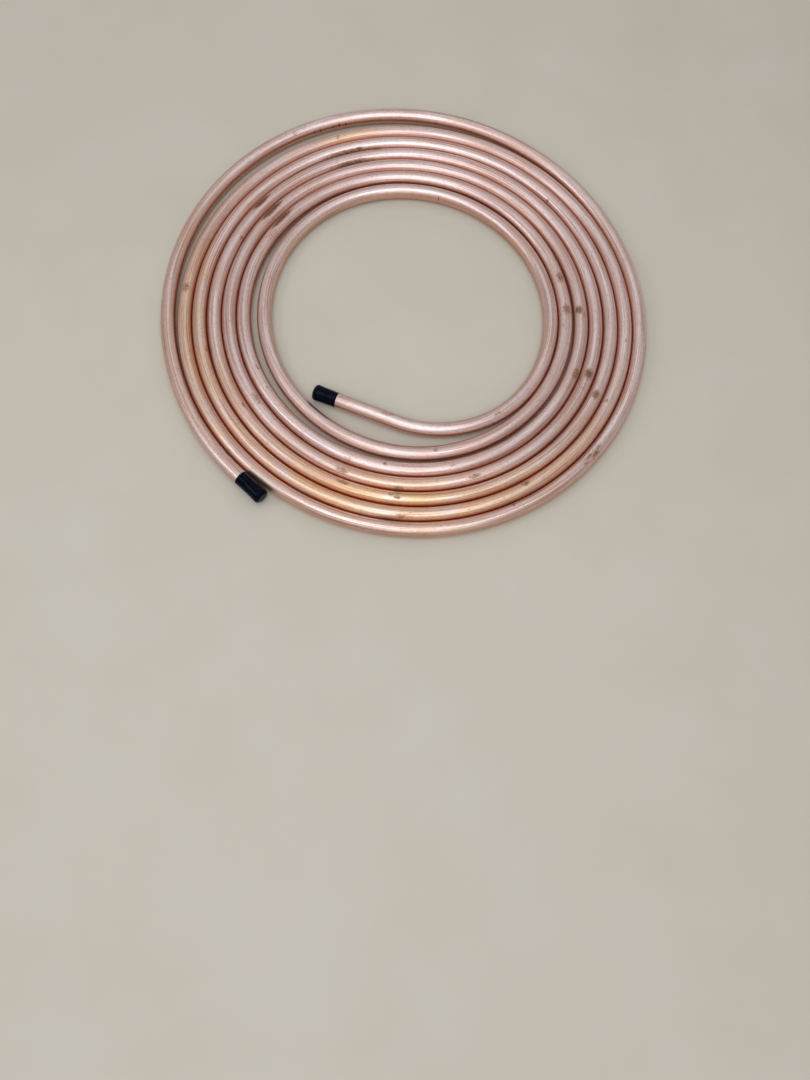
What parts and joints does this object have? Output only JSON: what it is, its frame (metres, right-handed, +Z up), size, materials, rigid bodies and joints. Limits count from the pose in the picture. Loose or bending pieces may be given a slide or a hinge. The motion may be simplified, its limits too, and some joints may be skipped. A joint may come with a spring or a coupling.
{
  "type": "copper tube coil",
  "caption": "Flat single-layer coil of soft copper tube with a black push-on cap on each free end, for pipework that is unrolled and cut to length.",
  "frame": {"origin": "on the floor, under the middle of the coil's footprint", "axes": "+Z up, square to the flat coil, the way it lies; +X to the right and +Y away from someone who stands beside it with both capped ends at the near left"},
  "size_m": [0.508, 0.5068, 0.0203],
  "materials": {
    "copper": null,
    "cap_rubber": "glossy black soft vinyl"
  },
  "bodies": {
    "root": {"copper_tube": "copper", "outer_end_cap": "cap_rubber", "inner_end_cap": "cap_rubber"}
  },
  "joints": []
}
